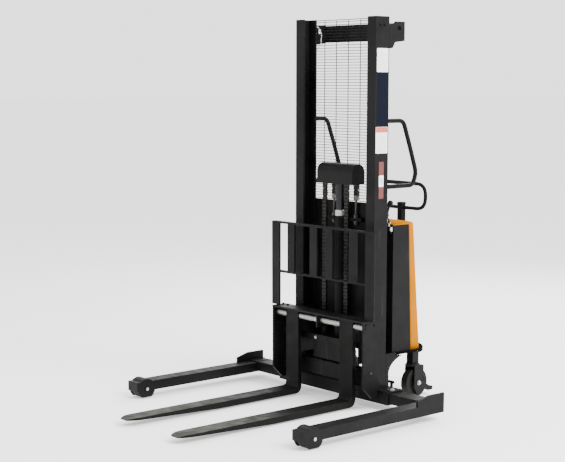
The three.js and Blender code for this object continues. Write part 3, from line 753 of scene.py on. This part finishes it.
def make_load_wheel(name, side):
    node = f"load_wheel_{name}"
    low, high = span(node)
    centre = (low + high) / 2
    radius, half = (high.z - low.z) / 2, (high.x - low.x) / 2
    matrix = axis_matrix("x", tuple(centre))
    bm = bmesh.new()
    add_lathe(bm, tread_profile(36, radius, half, 6, 7), matrix, 64)
    stand_in(f"load_wheel_tread_{name}", bm, node, node, "wheel_tread", TREAD)
    bm = bmesh.new()
    hub = mirrored([
        (8.8, -half), (20, -half), (22, -half + 5),
        (31, -half + 5), (33, -half + 0.5), (35.8, -half + 0.5),
    ])
    add_lathe(bm, hub, matrix, 48)
    place(f"load_wheel_hub_{name}", bm, node, "roller_steel", ROLLER)
    make_load_axle(name, side, centre)


def make_load_axle(name, side, centre):
    bm = bmesh.new()
    outer, inner = side * 714.3, side * 627.7
    add_rod(bm, "x", (0, centre.y, centre.z), 8, *sorted((side * 620, side * 719)), 24)
    for start, outward in ((outer, side), (inner, -side)):
        face = axis_matrix("x", (start, centre.y, centre.z))
        add_prism(bm, circle(9.6, 6, 0.2), face, 0, outward * 5.2)
        add_prism(bm, circle(8, 24), face, outward * 5.2, outward * 6.4)
    round_edges(bm, 0.5, 40, 1)
    stand_in(f"load_wheel_bolt_{name}", bm, f"load_axle_{name}", f"outrigger_{name}", "zinc", ZINC)


# ---------------------------------------------------------------- carriage and forks


def make_fork_shaft():
    low, high = span("fork_shaft")
    centre = (low + high) / 2
    bm = bmesh.new()
    add_rod(bm, "x", (0, centre.y, centre.z), 19, low.x, high.x, 48, 2.0)
    stand_in("fork_shaft_turned", bm, "fork_shaft", "carriage", "zinc", SHAFT)
    bm = bmesh.new()
    for side, end in ((1, high.x), (-1, low.x)):
        add_prism(bm, circle(23, 40), axis_matrix("x", (end, centre.y, centre.z)), side * 0.1, side * 2.1)
    round_edges(bm, 0.6, 40, 1)
    place("shaft_end_plates", bm, "carriage", "black_paint", BLACK)


def make_carriage():
    refine("carriage_frame", "carriage", "black_paint", BLACK, 1.6)
    refine("load_backrest", "carriage", "black_paint", BLACK, 1.4)
    make_fork_shaft()
    plate = span("carriage_frame")[1].x
    hardware = [("x", (plate, -100, 452), 5, 4, 1), ("x", (plate, -40, 446), 6, 5, 1)]
    bolts("side_plate_bolts", "carriage", "black_paint", BLACK, hardware)
    bolts("side_plate_stud", "carriage", "zinc", OILED, [("x", (plate, -66, 200), 4, 3, 1)])
    runs = []
    for side in (1, -1):
        edge = side * 344
        runs += [
            ((edge, -42, 122), (edge, -42, 198)),
            ((edge, -116, 459), (edge, -30, 459)),
            ((edge, -48, 309), (edge, -48, 337)),
            ((side * 356, -89, 473), (side * 335, -89, 473)),
            ((side * 6, -114, 459), (side * 6, -42, 459)),
        ]
    weld_bead("carriage_welds", "carriage", runs, 2.6)
    feet = [("z", (side * x, -58, 471), 7, 6, 1) for side in (1, -1) for x in (300, 340)]
    bolts("backrest_bolts", "carriage", "black_paint", BLACK, feet)
    bolts("chain_anchor_bolt", "carriage", "zinc", ZINC, [("y", (-84, -46, 322), 6, 5, -1)])
    for name, side in SIDES:
        refine(f"fork_{name}", f"fork_{name}", "fork_steel", FORK, 2.6, angle=24)
        for level in ("upper", "lower"):
            make_roller(f"mast_roller_{level}_{name}", side)


def make_roller(node, side):
    low, high = span(node)
    centre = (low + high) / 2
    radius, half = (high.z - low.z) / 2, (high.x - low.x) / 2
    bm = bmesh.new()
    outline = mirrored([
        (14.4, -half + 2), (22, -half + 2), (22, -half), (radius - 2, -half), (radius, -half + 2),
    ])
    add_lathe(bm, outline, axis_matrix("x", tuple(centre)), 56)
    stand_in(node + "_turned", bm, node, node, "roller_steel", ROLLER)


# ---------------------------------------------------------------- lift

CHAIN_PITCH = 19.05
SHEAVE_LOW, SHEAVE_HIGH = span("sheave_left")
SHEAVE_Y = (SHEAVE_LOW.y + SHEAVE_HIGH.y) / 2
SHEAVE_Z = (SHEAVE_LOW.z + SHEAVE_HIGH.z) / 2
SHEAVE_X = (SHEAVE_LOW.x + SHEAVE_HIGH.x) / 2
CHAIN_FRONT = sum(span("chain_front_left")[k].y for k in (0, 1)) / 2
CHAIN_REAR = sum(span("chain_rear_left")[k].y for k in (0, 1)) / 2
CHAIN_RADIUS = (CHAIN_REAR - CHAIN_FRONT) / 2


def link_outline():
    """A leaf-chain plate, one pitch between its pins, waisted in the middle."""
    end, waist = 6.9, 5.4
    points = []
    for centre, start in ((CHAIN_PITCH / 2, -70), (-CHAIN_PITCH / 2, 110)):
        for k in range(8):
            angle = math.radians(start + 20 * k)
            points.append((centre + end * math.cos(angle), end * math.sin(angle)))
        sign = 1 if start < 0 else -1
        points.append((0, sign * waist))
    return points


def add_link(bm, x, y, z, tilt, odd, outline):
    """One set of plates and its pin: tilt turns the link in the YZ plane."""
    base = Matrix.Translation(at(x, y, z)) @ Matrix.Rotation(tilt, 4, "X")
    upright = base @ Matrix(((0, 0, 1, 0), (0, 1, 0, 0), (1, 0, 0, 0), (0, 0, 0, 1)))
    offsets = (-13.2, -6.6, 0, 6.6, 13.2) if odd else (-9.9, -3.3, 3.3, 9.9)
    for offset in offsets:
        add_prism(bm, outline, upright, offset - 1.4, offset + 1.4)
    lifted = base @ Matrix.Translation(Vector((0, 0, CHAIN_PITCH / 2 * MM)))
    pin = lifted @ Matrix.Rotation(math.pi / 2, 4, "Y")
    add_prism(bm, circle(3.2, 10), pin, -15, 15)


def straight_chain(name, x, y, low, high, odd_start=0):
    """An upright strand, with its pitch stretched a little to end on a whole link."""
    bm = bmesh.new()
    outline = link_outline()
    count = round((high - low) / CHAIN_PITCH)
    pitch = (high - low) / count
    for k in range(count):
        add_link(bm, x, y, low + pitch * (k + 0.5), 0.0, (k + odd_start) % 2, outline)
    return place(name, bm, None, "chain_steel", CHAIN)


def make_front_strand(name, x):
    """The strand down to the carriage, riding on the ram."""
    node = f"chain_front_{name}"
    low = span(node)[0].z
    strand = straight_chain(node + "_links", x, CHAIN_FRONT, low, SHEAVE_Z)
    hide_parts(node)
    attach(strand, "ram")
    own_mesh(strand)


def make_rear_strand(name, x):
    """The strand from the mast's anchor up to the sheave."""
    node = f"chain_rear_{name}"
    low = span(node)[0].z
    strand = straight_chain(node + "_links", x, CHAIN_REAR, low, SHEAVE_Z, 1)
    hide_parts(node)
    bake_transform(strand)


def make_wrap(name, x):
    """The links round the top half of the sheave."""
    bm = bmesh.new()
    outline = link_outline()
    count = round(math.pi * CHAIN_RADIUS / CHAIN_PITCH)
    for k in range(count):
        angle = math.pi * (k + 0.5) / count
        y = SHEAVE_Y - CHAIN_RADIUS * math.cos(angle)
        z = SHEAVE_Z + CHAIN_RADIUS * math.sin(angle)
        add_link(bm, x, y, z, -angle, k % 2, outline)
    place(f"chain_wrap_{name}", bm, "ram", "chain_steel", CHAIN)


def make_chains():
    for name, side in SIDES:
        x = side * SHEAVE_X
        make_front_strand(name, x)
        make_rear_strand(name, x)
        make_wrap(name, x)
        make_sheave(name, x)
        make_chain_rod(name, x)


def make_sheave(name, x):
    node = f"sheave_{name}"
    half, rim = (SHEAVE_HIGH.x - SHEAVE_LOW.x) / 2, (SHEAVE_HIGH.z - SHEAVE_LOW.z) / 2
    groove = 25.5
    outline = mirrored([
        (10.4, -half), (18, -half), (20, -half + 2), (rim - 6, -half + 2),
        (rim - 4, -half), (rim, -half), (rim, -half + 2.5), (groove, -half + 4.5),
    ])
    bm = bmesh.new()
    add_lathe(bm, outline, axis_matrix("x", (x, SHEAVE_Y, SHEAVE_Z)), 56)
    stand_in(node + "_turned", bm, node, node, "roller_steel", ROLLER)


def make_chain_rod(name, x):
    """A threaded anchor rod with two nuts and washers, and a flat block for the chain's pin."""
    node = f"chain_rod_{name}"
    low, high = span(node)
    y = CHAIN_REAR
    bm = bmesh.new()
    thread = thread_profile(low.z, high.z - 22, 6.2, 7.0, 60)
    add_lathe(bm, thread, axis_matrix("z", (x, y, 0)), 16)
    for z in (936, 970):
        add_prism(bm, circle(11.5, 6), axis_matrix("z", (x, y, z)), 0, 13)
    for z in (948, 968.2):
        add_prism(bm, circle(17, 32), axis_matrix("z", (x, y, z)), 0, 1.8)
    block = [(x - 12, y - 7), (x + 12, y - 7), (x + 12, y + 7), (x - 12, y + 7)]
    add_prism(bm, block, axis_matrix("z", (0, 0, 0)), high.z - 26, high.z)
    round_edges(bm, 0.8, 50, 1)
    stand_in(node + "_threaded", bm, node, "root", "zinc", OILED)


BARREL_LOW, BARREL_HIGH = span("cylinder_barrel")
BARREL_Y = (BARREL_LOW.y + BARREL_HIGH.y) / 2
BARREL_RADIUS = (BARREL_HIGH.x - BARREL_LOW.x) / 2
BARREL_WALL = 3
BARREL_FLOOR = 150


def make_barrel():
    outer, bore = BARREL_RADIUS, BARREL_RADIUS - BARREL_WALL
    low, high = BARREL_LOW.z, BARREL_HIGH.z
    bm = bmesh.new()
    outline = [
        (bore, BARREL_FLOOR), (bore, high), (outer - 1, high), (outer, high - 1.5),
        (outer, low + 2), (outer - 2, low), (6, low), (6, BARREL_FLOOR),
    ]
    add_lathe(bm, outline, axis_matrix("z", (0, BARREL_Y, 0)), 56)
    stand_in("cylinder_barrel_tube", bm, "cylinder_barrel", "root", "black_paint", BLACK)


def make_gland():
    low, high = span("cylinder_gland")
    rod_low, rod_high = span("lift_rod")
    bore = (rod_high.x - rod_low.x) / 2 + 0.3
    outer = BARREL_RADIUS
    bm = bmesh.new()
    outline = [
        (bore, low.z), (outer - 1.5, low.z), (outer, low.z + 1.5), (outer, low.z + 11),
        (outer - 1.8, low.z + 12.5), (outer - 1.8, low.z + 15), (outer, low.z + 16.5),
        (outer, high.z - 5), (outer - 3, high.z - 1), (bore, high.z),
    ]
    add_lathe(bm, outline, axis_matrix("z", (0, BARREL_Y, 0)), 56)
    stand_in("cylinder_gland_turned", bm, "cylinder_gland", "root", "zinc", ZINC)


def make_lift_rod():
    low, high = span("lift_rod")
    bm = bmesh.new()
    add_rod(bm, "z", (0, BARREL_Y, 0), high.x, low.z, high.z, 56, 2.0)
    stand_in("lift_rod_ground", bm, "lift_rod", "ram", "lift_rod_finish", ROD)


def make_cylinder():
    refine("chain_yoke", "ram", "black_paint", BLACK, 2.0)
    refine("yoke_cover", "ram", "black_paint", BLACK, 1.0, angle=40)
    make_barrel()
    make_gland()
    make_lift_rod()


# ---------------------------------------------------------------- housing

SHELL_LOW, SHELL_HIGH = span("housing_shell")
COVER_LOW, COVER_HIGH = span("rear_cover")
SEAM_TOP, SEAM_FOOT = 300.0, SHELL_HIGH.y + 0.3
TAIL_TOP, TAIL_FOOT = 85.0, COVER_HIGH.y - SEAM_FOOT
TAIL_EXPONENT = 3


def tail_point(angle, height, inset=0.0):
    """A point of the bowed back at an angle from the left seam, on the flared section at that height."""
    drop = (COVER_HIGH.z - height) / (COVER_HIGH.z - COVER_LOW.z)
    seam = SEAM_TOP + (SEAM_FOOT - SEAM_TOP) * drop
    tail = TAIL_TOP + (TAIL_FOOT - TAIL_TOP) * drop
    power = 2 / TAIL_EXPONENT
    across = math.copysign(abs(math.cos(angle)) ** power, math.cos(angle))
    back = abs(math.sin(angle)) ** power
    return at((COVER_HIGH.x - inset) * across, seam + (tail - inset) * back, height)


COVER_COLUMNS = 96
COVER_LEVELS = 14
SHOULDER_STEPS = 7
SHOULDER_RADIUS = 9.0
COVER_SHEET = 2.0


def cover_rows():
    """(height, inset) from the foot of the cover to the edge of its lid."""
    shoulder = COVER_HIGH.z - SHOULDER_RADIUS
    rows = []
    for k in range(COVER_LEVELS + 1):
        rows.append((COVER_LOW.z + (shoulder - COVER_LOW.z) * k / COVER_LEVELS, 0.0))
    for k in range(1, SHOULDER_STEPS + 1):
        angle = math.pi / 2 * k / SHOULDER_STEPS
        inset = SHOULDER_RADIUS * (1 - math.cos(angle))
        rows.append((shoulder + SHOULDER_RADIUS * math.sin(angle), inset))
    return rows


def add_cover_flank(bm, side, column, rows, grid):
    """The lid's rounded side, forward from the bowed back, and its highest front corner."""
    edge = []
    for (height, inset), ring in zip(rows[COVER_LEVELS:], grid[COVER_LEVELS:]):
        front = bm.verts.new(at(side * (COVER_HIGH.x - inset), COVER_LOW.y, height))
        edge.append((front, ring[column]))
    for (f0, b0), (f1, b1) in zip(edge, edge[1:]):
        bm.faces.new((f0, b0, b1, f1))
    return edge[-1][0]


def make_cover_pressing():
    """Pressed cover: a bowed back, a rounded shoulder and a flat lid that reaches over the shell."""
    columns = COVER_COLUMNS
    rows = cover_rows()
    bm = bmesh.new()
    grid = []
    for height, inset in rows:
        ring = [tail_point(math.pi * c / columns, height, inset) for c in range(columns + 1)]
        grid.append([bm.verts.new(point) for point in ring])
    for low, high in zip(grid, grid[1:]):
        for c in range(columns):
            bm.faces.new((low[c], low[c + 1], high[c + 1], high[c]))
    left_corner = add_cover_flank(bm, 1, 0, rows, grid)
    right_corner = add_cover_flank(bm, -1, columns, rows, grid)
    bm.faces.new([left_corner, *grid[-1], right_corner])
    cover = stand_in("rear_cover_pressing", bm, "rear_cover", "root", "yellow_cover", YELLOW)
    sheet = cover.modifiers.new("sheet", "SOLIDIFY")
    sheet.thickness = COVER_SHEET * MM
    sheet.offset = -1


def make_cover_screws():
    screws = bmesh.new()
    for side, angle in ((1, 0.02), (-1, math.pi - 0.02)):
        turn = Matrix.Rotation(math.radians(90 * side), 4, "Y")
        for height in (330, 860):
            matrix = Matrix.Translation(tail_point(angle, height)) @ turn
            add_prism(screws, circle(4, 20), matrix, -1, 1.2)
    round_edges(screws, 0.5, 40, 2)
    place("cover_screws", screws, "root", "yellow_cover", YELLOW)


def make_emergency_stop():
    node = "emergency_stop"
    low, high = span(node)
    x, y = (low.x + high.x) / 2, (low.y + high.y) / 2
    bm = bmesh.new()
    head = [
        (1.5, low.z), (10.9, low.z), (10.9, high.z - 15), (16, high.z - 15), (20, high.z - 12),
        (20, high.z - 7), (17, high.z - 2.2), (10, high.z - 0.4), (1.5, high.z),
    ]
    add_lathe(bm, head, axis_matrix("z", (x, y, 0)), 48)
    stand_in("emergency_stop_button", bm, node, node, "red_plastic", RED)


def make_housing():
    refine("housing_shell", "root", "black_paint", BLACK, 1.5)
    make_cover_pressing()
    make_cover_screws()
    refine("battery", "root", "battery_case", BATTERY, 5)
    refine("hydraulic_tank", "root", "tank_plastic", TANK, 6)
    refine("pump_motor", "root", "motor_paint", BLACK, 2.0)
    refine("tiller_socket", "root", "black_paint", BLACK, 1.5)
    make_emergency_stop()
    refine("key_switch", "key_switch", "zinc", ZINC, 0.5)


# ---------------------------------------------------------------- tiller, lever and casters


def rounded_square(half, corner):
    outline = []
    for cx, cy, start in ((1, 1, 0), (-1, 1, 90), (-1, -1, 180), (1, -1, 270)):
        for k in range(4):
            angle = math.radians(start + 30 * k)
            x = cx * (half - corner) + corner * math.cos(angle)
            y = cy * (half - corner) + corner * math.sin(angle)
            outline.append((x, y))
    return outline


TILLER_BAR = 10
TILLER_POST = 17
TILLER_FOOT_BAR, TILLER_TOP_BAR = 993, 1128
TILLER_BEND = 65
COLLAR_LOW, COLLAR_HIGH = 1010, 1019
GRIP_RIDGES = 42


def make_tiller():
    low, high = span("tiller")
    post = centre_of("tiller_socket")
    foot, top = TILLER_FOOT_BAR, TILLER_TOP_BAR
    reach = high.x - TILLER_BAR
    loop = [
        (8, post.y, foot), (reach, post.y, foot), (reach, post.y, top),
        (-reach, post.y, top), (-reach, post.y, foot), (-8, post.y, foot),
    ]
    bm = bmesh.new()
    add_tube(bm, curve_points(loop, TILLER_BEND, 12), TILLER_BAR, 24)
    column = axis_matrix("z", (0, post.y, 0))
    add_prism(bm, rounded_square(TILLER_POST, 3), column, low.z, COLLAR_LOW + 2)
    add_prism(bm, rounded_square(TILLER_POST + 2, 4), column, COLLAR_LOW, COLLAR_HIGH)
    add_prism(bm, rounded_square(TILLER_POST, 4), column, COLLAR_HIGH, COLLAR_HIGH + 3)
    stand_in("tiller_handle", bm, "tiller", "tiller", "black_paint", GLOSS_BLACK)
    make_grip(reach - TILLER_BEND - 1, post.y)


def make_grip(half, y):
    """Ridged rubber over the straight part of the handle's top bar."""
    bm = bmesh.new()
    pitch = 2 * half / GRIP_RIDGES
    inner, outer = TILLER_BAR + 0.1, TILLER_BAR + 0.9
    ridge = [(inner, 0), (outer, 0.6), (outer, pitch - 0.8), (inner, pitch - 0.2)]
    for k in range(GRIP_RIDGES):
        x = -half + pitch * k
        add_lathe(bm, ridge, axis_matrix("x", (x, y, TILLER_TOP_BAR)), 24)
    place("tiller_grip", bm, "tiller", "wheel_tread", RUBBER)


def make_lever():
    refine("lift_lever", "lift_lever", "black_paint", GLOSS_BLACK, 0.8)
    bm = bmesh.new()
    cheek = [(104.5, 982), (122, 984), (126, 995), (122, 1006), (104.5, 1010)]
    upright = Matrix(((0, 0, 1, 0), (1, 0, 0, 0), (0, 1, 0, 0), (0, 0, 0, 1)))
    for x in (260, 281):
        add_prism(bm, cheek, Matrix.Translation(at(x, 0, 0)) @ upright, 0, 4)
    round_edges(bm, 0.5, 40, 1)
    place("lever_bracket", bm, "root", "black_paint", BLACK)


def make_caster_wheel(name, node, centre, radius, half):
    matrix = axis_matrix("x", tuple(centre))
    bm = bmesh.new()
    add_lathe(bm, tread_profile(58, radius, half - 1, 5, 6), matrix, 72)
    stand_in(f"caster_tread_{name}", bm, node, node, "wheel_tread", TREAD)
    bm = bmesh.new()
    hub = mirrored([
        (8.6, -half), (22, -half), (25, -half + 8), (48, -half + 10), (52, -half + 4), (57.8, -half + 3.6),
    ])
    add_lathe(bm, hub, matrix, 56)
    place(f"caster_hub_{name}", bm, node, "roller_steel", HUB)


def make_casters():
    race = [(20, 172), (37, 172), (39, 175), (39, 180), (35, 183), (20, 183)]
    for name, _ in SIDES:
        fork, wheel, pedal = (f"caster_{part}_{name}" for part in ("fork", "wheel", "pedal"))
        low, high = span(wheel)
        centre = (low + high) / 2
        refine(fork, fork, "black_paint", BLACK, 1.2)
        refine(pedal, pedal, "black_paint", BLACK, 0.8)
        make_caster_wheel(name, wheel, centre, (high.z - low.z) / 2, (high.x - low.x) / 2)
        nuts = [("x", (centre.x + s * 37, centre.y, centre.z), 9, 7, s) for s in (1, -1)]
        bolts(f"caster_axle_nuts_{name}", fork, "zinc", ZINC, nuts)
        stem = centre_of(f"caster_mount_{name}")
        bm = bmesh.new()
        add_lathe(bm, race, axis_matrix("z", (stem.x, stem.y, 0)), 48)
        place(f"caster_race_{name}", bm, fork, "black_paint", BLACK)


def make_hoses():
    """The hydraulic hose from the cylinder's foot into the housing, and its grommet."""
    bm = bmesh.new()
    hose = [
        (0, 80, 128), (0, 100, 128), (-24, 112, 150), (-60, 116, 210),
        (-98, 134, 300), (-110, 144, 376), (-110, 205, 376),
    ]
    add_tube(bm, curve_points(hose, 14, 5), 6.5, 14)
    place("hydraulic_hose", bm, "root", "wheel_tread", RUBBER)
    bm = bmesh.new()
    grommet = [(6.7, -3.5), (11, -3.5), (13, -2), (13, -0.2), (6.7, -0.2)]
    add_lathe(bm, grommet, axis_matrix("y", (-110, SHELL_LOW.y, 376)), 32)
    place("hose_grommet", bm, "root", "wheel_tread", RUBBER)


def make_wiring():
    """Three leads with plugs below the lift lever, and a loop of cable at the far channel's top."""
    wiring = bmesh.new()
    plugs = bmesh.new()
    for k, drop in enumerate((0, 26, 52)):
        x = 268 + 6 * k
        plug = (x, 132 + 7 * k, 972 - drop)
        route = [
            (x, 110, 1012 - drop / 2), (x, 122 + 4 * k, 1000 - drop / 2), plug,
            (x, 138 + 6 * k, 948 - drop), (x, 128 + 8 * k, 926 - drop / 2),
        ]
        add_tube(wiring, curve_points(route, 9, 5), 2.4, 10)
        add_prism(plugs, rounded_square(5, 1.5), axis_matrix("z", plug), -11, 9)
    place("lever_wiring", wiring, "root", "wheel_tread", RUBBER)
    place("wiring_plugs", plugs, "root", "tank_plastic", WHITE_CABLE)
    loop = bmesh.new()
    route = [
        (-288, 99, 1962), (-290, 128, 1975), (-292, 152, 1960), (-292, 172, 1930), (-291, 168, 1880),
        (-290, 140, 1842), (-286, 112, 1835), (-284, 108, 1790),
    ]
    add_tube(loop, curve_points(route, 12, 6), 2.6, 12)
    place("mast_wire_loop", loop, "root", "tank_plastic", WHITE_CABLE)


make_camera()
make_studio()
make_mast()
make_guard()
make_labels()
make_push_handles()
make_base()
make_clamp_bolts()
make_outriggers()
make_carriage()
make_chains()
make_cylinder()
make_housing()
make_tiller()
make_lever()
make_casters()
make_hoses()
make_wiring()
